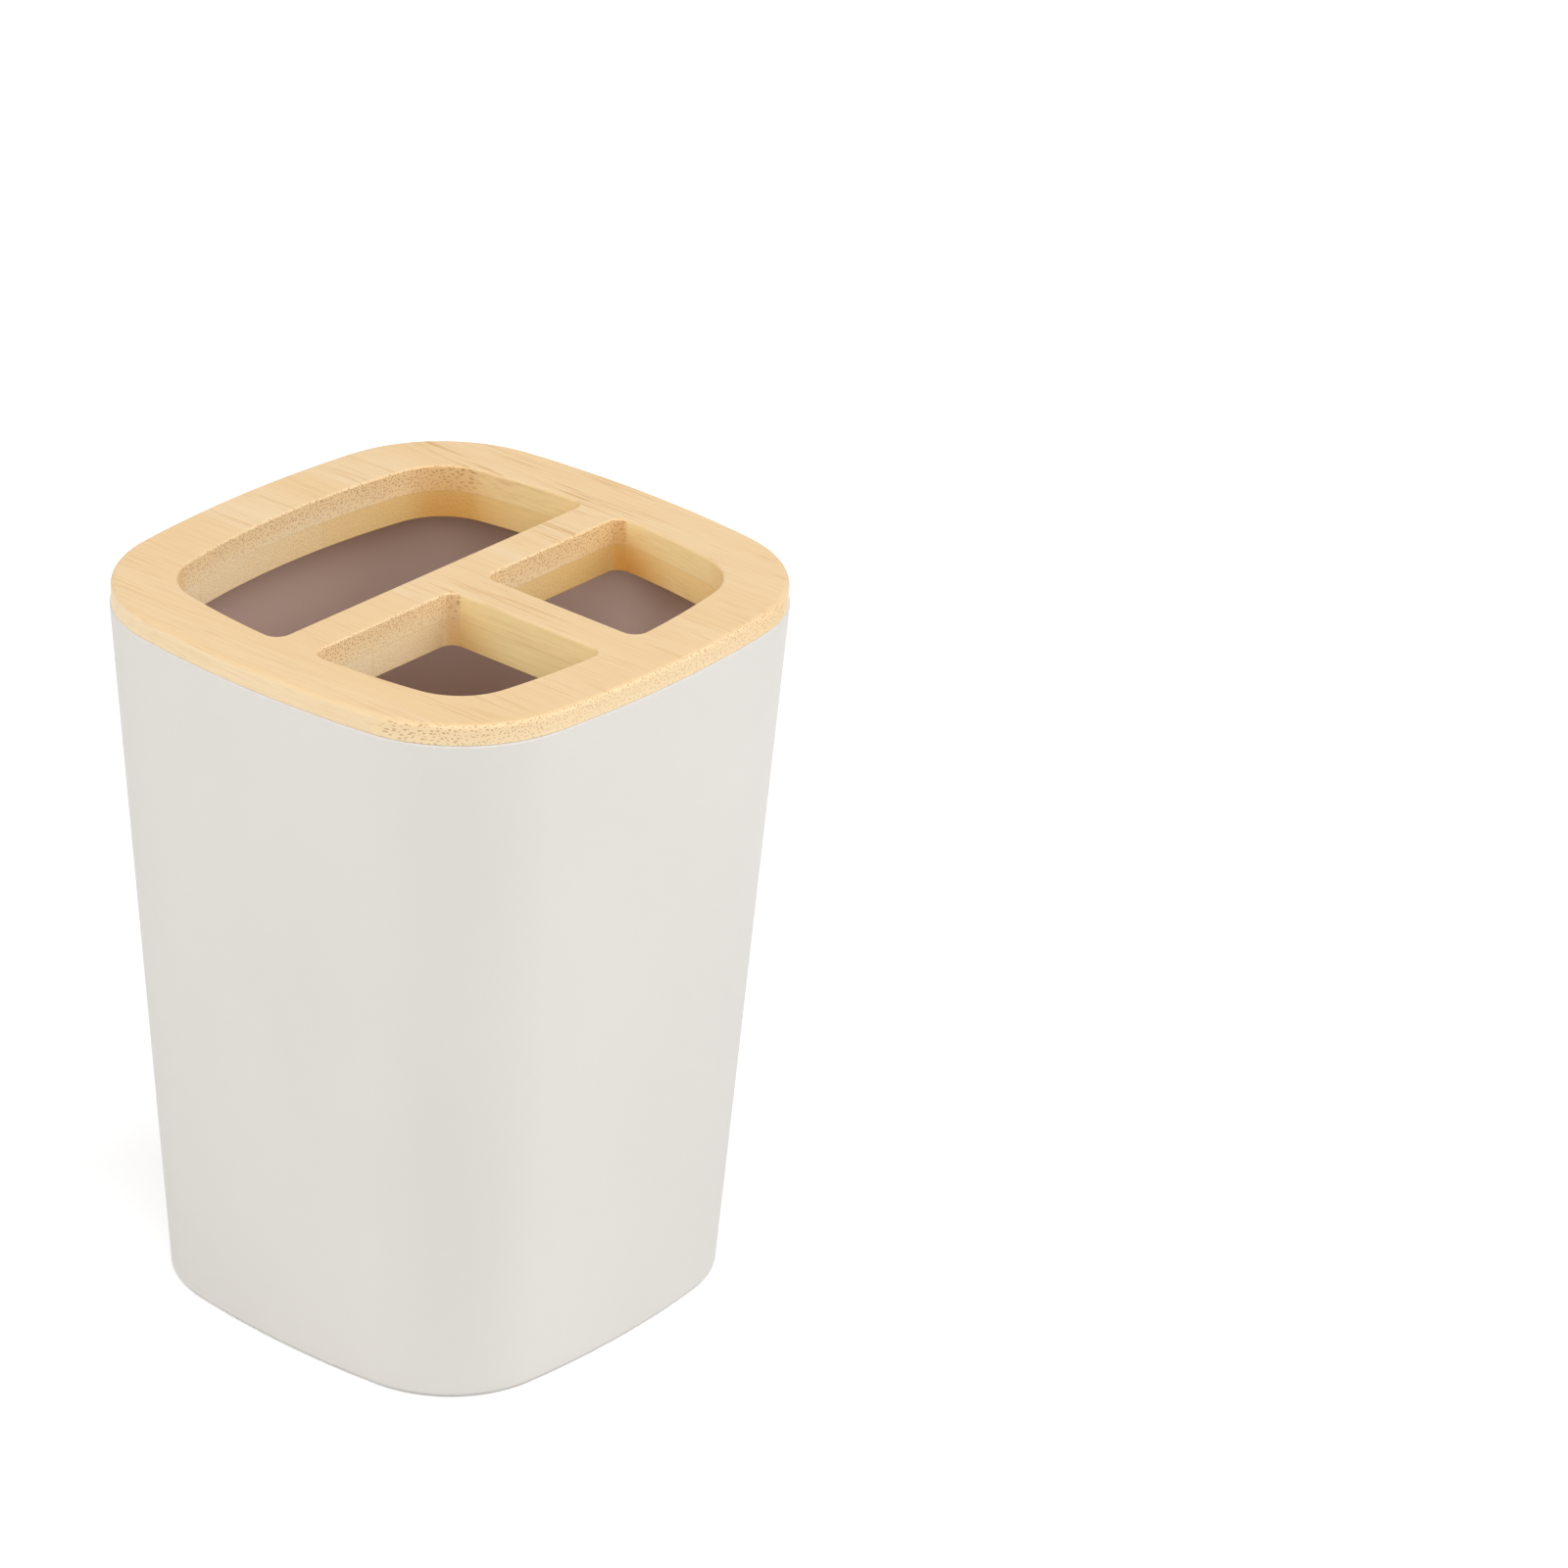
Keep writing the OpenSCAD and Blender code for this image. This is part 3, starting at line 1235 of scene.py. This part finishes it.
@dataclass(frozen=True)
class Ply:
    """One ply of the board: its slot, its finish, and the nodes of its strips from left to right."""

    slot: Slot
    finish: Bamboo
    strips: dict[str, StripTone]


UPPER_PLY = Ply(
    slot=Slot.UPPER_PLY,
    finish=Bamboo(
        face=(237, 209, 166),
        face_warm=(234, 200, 149),
        milled=(255, 230, 171),
        milled_warm=(255, 222, 158),
        streak=(208, 162, 102),
        end_face=(246, 215, 166),
        end_pale=(250, 226, 182),
        end_warm=(247, 206, 146),
        warm_x=(4.0, 40.0),
        warm_share=1.0,
        dot=(160, 94, 46),
        dot_share=0.66,
    ),
    strips={
        "upper_ply_trim_strip": StripTone(seed=1.0, warmth=0.4, figure=0.4),
        "upper_ply_left_strip": StripTone(seed=2.0, warmth=0.55, figure=0.4),
        "upper_ply_centre_strip": StripTone(seed=3.0, warmth=0.0, figure=0.65),
        "upper_ply_right_strip": StripTone(seed=17.2, warmth=0.3, figure=1.3),
    },
)
LOWER_PLY = Ply(
    slot=Slot.LOWER_PLY,
    finish=Bamboo(
        face=(248, 224, 178),
        face_warm=(236, 196, 124),
        milled=(255, 240, 185),
        milled_warm=(250, 209, 137),
        streak=(216, 176, 112),
        end_face=(252, 231, 194),
        end_pale=(252, 230, 192),
        end_warm=(235, 194, 116),
        warm_x=(-24.0, 36.0),
        warm_share=0.75,
        dot=(190, 150, 100),
        dot_share=0.22,
    ),
    strips={
        "lower_ply_left_strip": StripTone(seed=5.0, warmth=0.3, figure=0.5, end_warmth=0.06),
        "lower_ply_centre_strip": StripTone(seed=6.0, warmth=0.35, figure=0.7, end_warmth=0.12),
        "lower_ply_right_strip": StripTone(seed=7.0, warmth=0.75, figure=0.7, end_warmth=0.2),
        "lower_ply_trim_strip": StripTone(seed=8.0, warmth=0.6, figure=0.7, end_warmth=0.25),
    },
)


@dataclass
class Cup:
    """The moulded cup: a tapered shell on a foot ring, open at the top."""

    height: float
    rim: BowedSquare = BowedSquare(40.2 * MM, 165 * MM, 21 * MM)
    foot_share: float = 67.2 / 80.4
    wall: float = 2 * MM
    floor: float = 2 * MM
    foot_ring_w: float = 4 * MM
    foot_recess: float = 0.8 * MM
    floor_edge: Rounding = Rounding(4 * MM, 9)
    foot_edge: Rounding = Rounding(0.8 * MM, 5)
    recess_edge: Rounding = Rounding(0.25 * MM, 2)
    rim_edge: Rounding = Rounding(0.5 * MM, 4)

    @classmethod
    def from_frame(cls) -> "Cup":
        """A cup as high as the frame's."""
        _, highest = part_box("cup")
        return cls(height=highest.z)

    def outline_at(self, level: float) -> BowedSquare:
        """The cup's outer section at a level."""
        return self.rim.scaled(self.foot_share + (1 - self.foot_share) * level / self.height)

    def shape(self) -> Workpiece:
        """Draws the foot, draws it up to the rim, hollows it and softens its edges.

        Returns:
            The shell.
        """
        shell = Workpiece.drawn("moulded_cup", self.rim.scaled(self.foot_share).arcs(), 0.0)
        inner_floor = self.foot_recess + self.floor
        mouth_half = self.rim.half - self.wall
        floor_half = self.outline_at(inner_floor).half - self.wall
        with shell.editing():
            shell.raise_face(0.0, self.height, 1 / self.foot_share)
            bpy.ops.mesh.inset(thickness=self.wall)
            shell.raise_picked(inner_floor - self.height, floor_half / mouth_half)
        shell.face_outwards()
        with shell.editing():
            shell.soften(both(at_level(inner_floor), is_brink), self.floor_edge)
            shell.soften(both(at_level(self.height), is_brink), self.rim_edge)
            shell.soften(both(at_level(0.0), is_brink), self.foot_edge)
            shell.pick(Part.FACE, at_level(0.0))
            bpy.ops.mesh.inset(thickness=self.foot_ring_w)
            shell.raise_picked(self.foot_recess)
            shell.soften(both(at_level(0.0), is_brink), self.recess_edge)
            shell.soften(both(at_level(self.foot_recess), is_brink), self.recess_edge)
        shell.face_outwards()
        shell.smooth()
        return shell

    def build(self) -> list[bpy.types.Object]:
        """Makes the cup, dresses it and sets it on its body.

        Returns:
            The piece, in a list.
        """
        piece = self.shape().piece
        piece.data.materials.append(MattPlastic(rim_z=self.height / MM).material())
        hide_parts("cup")
        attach(piece, Body.CUP.value)
        return [piece]


@dataclass
class Lid:
    """The bamboo lid: a board of two plies, milled as one and told apart into its strips."""

    cup: Cup
    top: float
    glue: float
    under: float
    inset: float = 0.2 * MM
    plug_gap: float = 0.4 * MM
    margin_w: float = 9.1 * MM
    crossbar_w: float = 6.3 * MM
    middle_bar_w: float = 6.5 * MM
    opening_bow_r: float = 118 * MM
    opening_corner_r: float = 9.6 * MM
    bar_corner: Rounding = Rounding(2 * MM, 8)
    edge: Rounding = Rounding(0.8 * MM, 6)
    plug_bevel: Rounding = Rounding(0.5 * MM, 2)
    opening_edge: Rounding = Rounding(0.4 * MM, 4)
    opening_foot: Rounding = Rounding(0.2 * MM, 2)
    overrun: float = 1 * MM

    @classmethod
    def from_frame(cls, cup: Cup) -> "Lid":
        """A lid at the levels of the frame's.

        Args:
            cup: The cup that it closes.

        Returns:
            The lid.
        """
        upper_low, upper_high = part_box("upper_ply_centre_strip")
        lower_low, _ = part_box("lower_ply_centre_strip")
        return cls(cup=cup, top=upper_high.z, glue=upper_low.z, under=lower_low.z)

    @property
    def outline(self) -> BowedSquare:
        """Outline of the edge that shows above the rim."""
        return self.cup.rim.grown(-self.inset)

    @property
    def opening(self) -> BowedSquare:
        """The bowed square that bounds all three openings."""
        return BowedSquare(self.outline.half - self.margin_w, self.opening_bow_r, self.opening_corner_r)

    @property
    def corner_reach(self) -> float:
        """Distance from the centre of a bowed side to that of a bar corner on it."""
        return self.opening_bow_r - self.bar_corner.radius

    def lean_at(self, offset: float) -> float:
        """Degrees from the middle of a bowed side to a bar corner that is centred off the axis."""
        return math.degrees(math.asin(offset / self.corner_reach))

    def bar_end(self, offset: float) -> float:
        """How far out along a bar its corner's centre lies."""
        return self.opening.bow_centre + self.corner_reach * math.cos(math.radians(self.lean_at(offset)))

    def bar_arc(self, x: float, y: float, first: float, last: float) -> Arc:
        """A corner of an opening beside a bar, by its centre and its two angles."""
        return Arc((x, y), self.bar_corner.radius, first, last, self.bar_corner.steps)

    def slot_outline(self) -> list[Arc]:
        """Outline of the long slot at the back.

        Returns:
            The outline, counter-clockwise from the right.
        """
        square = self.opening
        off = self.crossbar_w / 2 + self.bar_corner.radius
        lean = self.lean_at(off)
        end = self.bar_end(off)
        return [
            square.side(Way.RIGHT, lean, square.lean),
            square.corner(Way.RIGHT),
            square.side(Way.BACK, -square.lean, square.lean),
            square.corner(Way.BACK),
            square.side(Way.LEFT, -square.lean, -lean),
            self.bar_arc(-end, off, Way.LEFT - lean, Way.FRONT),
            self.bar_arc(end, off, Way.FRONT, FULL_TURN + lean),
        ]

    def brush_outline(self) -> list[Arc]:
        """Outline of the right brush opening.

        Returns:
            The outline, counter-clockwise from the right.
        """
        square = self.opening
        cross_off = self.crossbar_w / 2 + self.bar_corner.radius
        cross_lean = self.lean_at(cross_off)
        bar_off = self.middle_bar_w / 2 + self.bar_corner.radius
        bar_lean = self.lean_at(bar_off)
        return [
            square.side(Way.RIGHT, -square.lean, -cross_lean),
            self.bar_arc(self.bar_end(cross_off), -cross_off, -cross_lean, Way.BACK),
            self.bar_arc(bar_off, -cross_off, Way.BACK, Way.LEFT),
            self.bar_arc(bar_off, -self.bar_end(bar_off), Way.LEFT, Way.FRONT + bar_lean),
            square.side(Way.FRONT, bar_lean, square.lean),
            square.corner(Way.FRONT),
        ]

    def openings(self) -> list[list[Arc]]:
        """Outlines of all three openings.

        Returns:
            Those of the slot and of the right and the left brush opening.
        """
        right = self.brush_outline()
        left = [arc.mirrored() for arc in reversed(right)]
        return [self.slot_outline(), right, left]

    def blank(self) -> Workpiece:
        """The board before its openings are milled: an edge that rests on the rim, and a plug under it.

        Returns:
            The blank.
        """
        rim = self.cup.height
        board = Workpiece.drawn("bamboo_board", self.outline.arcs(), rim)
        plug_half = self.cup.outline_at(self.under).half - self.cup.wall - self.plug_gap
        with board.editing():
            board.raise_face(rim, self.top - rim)
        board.face_outwards()
        with board.editing():
            board.pick(Part.FACE, at_level(rim))
            bpy.ops.mesh.inset(thickness=self.outline.half - plug_half)
            board.raise_picked(self.under - rim)
            board.soften(both(at_level(self.under), is_brink), self.plug_bevel)
            board.soften(both(at_level(self.top), is_brink), self.edge)
        board.face_outwards()
        return board

    def cutter(self, arcs: Sequence[Arc]) -> Workpiece:
        """A cutter as tall as the board and a little more, with the outline of one opening.

        Args:
            arcs: The outline.

        Returns:
            The cutter.
        """
        low = self.under - self.overrun
        cutter = Workpiece.drawn("cutter", arcs, low)
        with cutter.editing():
            cutter.raise_face(low, self.top + self.overrun - low)
        cutter.face_outwards()
        return cutter

    def board(self) -> Workpiece:
        """The milled board, with the edges of its openings softened.

        Returns:
            The board.
        """
        board = self.blank()
        for arcs in self.openings():
            board.mill(self.cutter(arcs))
        limit = self.opening.half + NEAR

        def at_an_opening(edge: bmesh.types.BMEdge) -> bool:
            """Whether an edge lies inside the square that bounds the openings."""
            return all(max(abs(point.co.x), abs(point.co.y)) < limit for point in edge.verts)

        with board.editing():
            rim_of_opening = both(at_an_opening, is_brink)
            board.soften(both(at_level(self.top), rim_of_opening), self.opening_edge)
            board.soften(both(at_level(self.under), rim_of_opening), self.opening_foot)
        board.face_outwards()
        return board

    def strip(self, board: Workpiece, node: str, place: StripPlace) -> Workpiece:
        """What the milled board leaves of one strip.

        Args:
            board: The whole board.
            node: The frame's strip.
            place: Where the strip lies.

        Returns:
            The strip.
        """
        strip = board.duplicate(f"bamboo_{node}")
        if place.high < self.top - NEAR:
            strip.saw(UP * place.high, UP)
        if place.low > self.under + NEAR:
            strip.saw(UP * place.low, -UP)
        if place.left > -FAR:
            strip.saw(ACROSS * place.left, -ACROSS)
        if place.right < FAR:
            strip.saw(ACROSS * place.right, ACROSS)
        strip.face_outwards()
        strip.smooth()
        return strip

    def ply(self, board: Workpiece, ply: Ply, low: float, high: float) -> list[bpy.types.Object]:
        """Makes the strips of a ply, dresses them and sets them on the lid's body.

        Args:
            board: The whole board.
            ply: The ply.
            low: Level of its underside.
            high: Level of its upper side.

        Returns:
            The four pieces, from left to right.
        """
        nodes = list(ply.strips)
        pieces = []
        for node, tone in ply.strips.items():
            box_low, box_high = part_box(node)
            left = -FAR if node == nodes[0] else box_low.x
            right = FAR if node == nodes[-1] else box_high.x
            place = StripPlace(left, right, low, high)
            piece = self.strip(board, node, place).piece
            piece.data.materials.clear()
            piece.data.materials.append(ply.finish.material(f"{node}_bamboo", place, tone))
            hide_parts(node)
            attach(piece, Body.LID.value)
            pieces.append(piece)
        return pieces

    def build(self) -> list[bpy.types.Object]:
        """Mills the board and makes both plies of it.

        Returns:
            The eight pieces.
        """
        board = self.board()
        upper = self.ply(board, UPPER_PLY, self.glue, self.top)
        lower = self.ply(board, LOWER_PLY, self.under, self.glue)
        bpy.data.objects.remove(board.piece)
        return upper + lower


@dataclass(frozen=True)
class Lamp:
    """A large soft lamp that faces the middle of the object.

    Its light is how bright a white face turned to the lamp looks, where 1 is full white.
    """

    name: str
    azimuth: float
    elevation: float
    light: float
    colour: tuple[float, float, float] = (1.0, 1.0, 1.0)
    distance: float = 1.6
    size: float = 1.3
    aim_z: float = 60 * MM

    def build(self) -> None:
        """Puts the lamp up."""
        away = direction(self.azimuth, self.elevation)
        data = bpy.data.lights.new(self.name, "AREA")
        data.shape = "SQUARE"
        data.size = self.size
        data.energy = self.light * (math.pi * self.distance) ** 2
        data.color = self.colour
        lamp = bpy.data.objects.new(self.name, data)
        lamp.location = UP * self.aim_z + away * self.distance
        lamp.rotation_euler = away.to_track_quat("Z", "Y").to_euler()
        bpy.context.scene.collection.objects.link(lamp)


@dataclass
class Studio:
    """A white floor in even light, soft lamps, and the photograph's camera."""

    azimuth: float = -50.414
    elevation: float = 26.490
    roll: float = 1.951
    distance: float = 1009.04 * MM
    # How far the camera stands to the right of and below the line to the foot's centre
    aside: float = 48.71 * MM
    below: float = -67.60 * MM
    # Focal length in pixels of the photograph, its width in pixels, and the sensor's width
    focal_px: float = 7183.7
    photo_px: float = 1600.0
    sensor_mm: float = 36.0
    # Distances between which the camera sees
    clip: Span = (0.05, 20.0)
    floor_w: float = 8.0
    # The floor lies this far under the foot, so that their faces don't coincide
    floor_gap: float = 0.03 * MM
    # The floor's grey where it lights the object, and its glow where it shows white
    floor_grey: Colour = (200, 200, 200)
    floor_glow: float = 0.2
    white: Colour = (255, 255, 255)
    # Strength of the even light, and that of the white round it
    sky: float = 0.445
    sky_shown: float = 1.0
    lamps: tuple[Lamp, ...] = (
        Lamp("front_lamp", azimuth=-45, elevation=38, light=0.38),
        Lamp("left_lamp", azimuth=-125, elevation=35, light=0.39),
        Lamp("right_lamp", azimuth=35, elevation=35, light=0.505, colour=(0.96, 0.965, 1.0)),
    )

    def camera(self) -> None:
        """Sets up the camera where the photograph was taken from."""
        turn, roll = math.radians(self.azimuth), math.radians(self.roll)
        back = direction(self.azimuth, self.elevation)
        level = Vector((math.cos(turn), math.sin(turn), 0.0))
        upright = back.cross(level)
        right = level * math.cos(roll) + upright * math.sin(roll)
        up = upright * math.cos(roll) - level * math.sin(roll)
        data = bpy.data.cameras.new("photo_camera")
        data.sensor_width = self.sensor_mm
        data.lens = self.focal_px / self.photo_px * self.sensor_mm
        data.clip_start, data.clip_end = self.clip
        camera = bpy.data.objects.new("photo_camera", data)
        place = back * self.distance + right * self.aside - up * self.below
        camera.matrix_world = Matrix.Translation(place) @ Matrix((right, up, back)).transposed().to_4x4()
        bpy.context.scene.collection.objects.link(camera)
        bpy.context.scene.camera = camera

    def floor(self) -> None:
        """Lays a white floor that keeps the object's shadow."""
        bpy.ops.object.select_all(action="DESELECT")
        bpy.ops.mesh.primitive_plane_add(size=self.floor_w, location=(0, 0, -self.floor_gap))
        floor = bpy.context.object
        floor.name = "floor"
        shader = Shader(bpy.data.materials.new("white_floor"))
        white = linear(self.white)
        paper = shader.node("ShaderNodeBsdfDiffuse", inputs={"Color": linear(self.floor_grey)})
        bright = shader.node("ShaderNodeBsdfDiffuse", inputs={"Color": white})
        glow = shader.node("ShaderNodeEmission", inputs={"Color": white, "Strength": self.floor_glow})
        lit = shader.node("ShaderNodeAddShader", inputs={0: bright.outputs[0], 1: glow.outputs[0]})
        mixed = shader.node(
            "ShaderNodeMixShader",
            inputs={0: shader.seen_directly(), 1: paper.outputs[0], 2: lit.outputs[0]},
        )
        shader.node("ShaderNodeOutputMaterial", inputs={"Surface": mixed.outputs[0]})
        floor.data.materials.append(shader.owner)

    def world(self) -> None:
        """Fills the room with even light, and shows it white."""
        shader = Shader(bpy.data.worlds.new("studio"))
        white = linear(self.white)
        light = shader.node("ShaderNodeBackground", inputs={"Color": white, "Strength": self.sky})
        shown = shader.node("ShaderNodeBackground", inputs={"Color": white, "Strength": self.sky_shown})
        mixed = shader.node(
            "ShaderNodeMixShader",
            inputs={0: shader.seen_directly(), 1: light.outputs[0], 2: shown.outputs[0]},
        )
        shader.node("ShaderNodeOutputWorld", inputs={"Surface": mixed.outputs[0]})
        bpy.context.scene.world = shader.owner

    def build(self) -> None:
        """Sets up the camera, the floor, the even light and the lamps."""
        self.camera()
        self.floor()
        self.world()
        for lamp in self.lamps:
            lamp.build()
        bpy.context.scene.view_settings.view_transform = "Standard"


def main() -> None:
    """Builds the studio, the cup and the lid, and reports each piece."""
    logging.basicConfig(level=logging.INFO, format="%(name)s: %(message)s")
    Studio().build()
    cup = Cup.from_frame()
    lid = Lid.from_frame(cup)
    for assembly in (cup, lid):
        for piece in assembly.build():
            log.info("%s: %d faces", piece.name, len(piece.data.polygons))


if __name__ == "__main__":
    main()
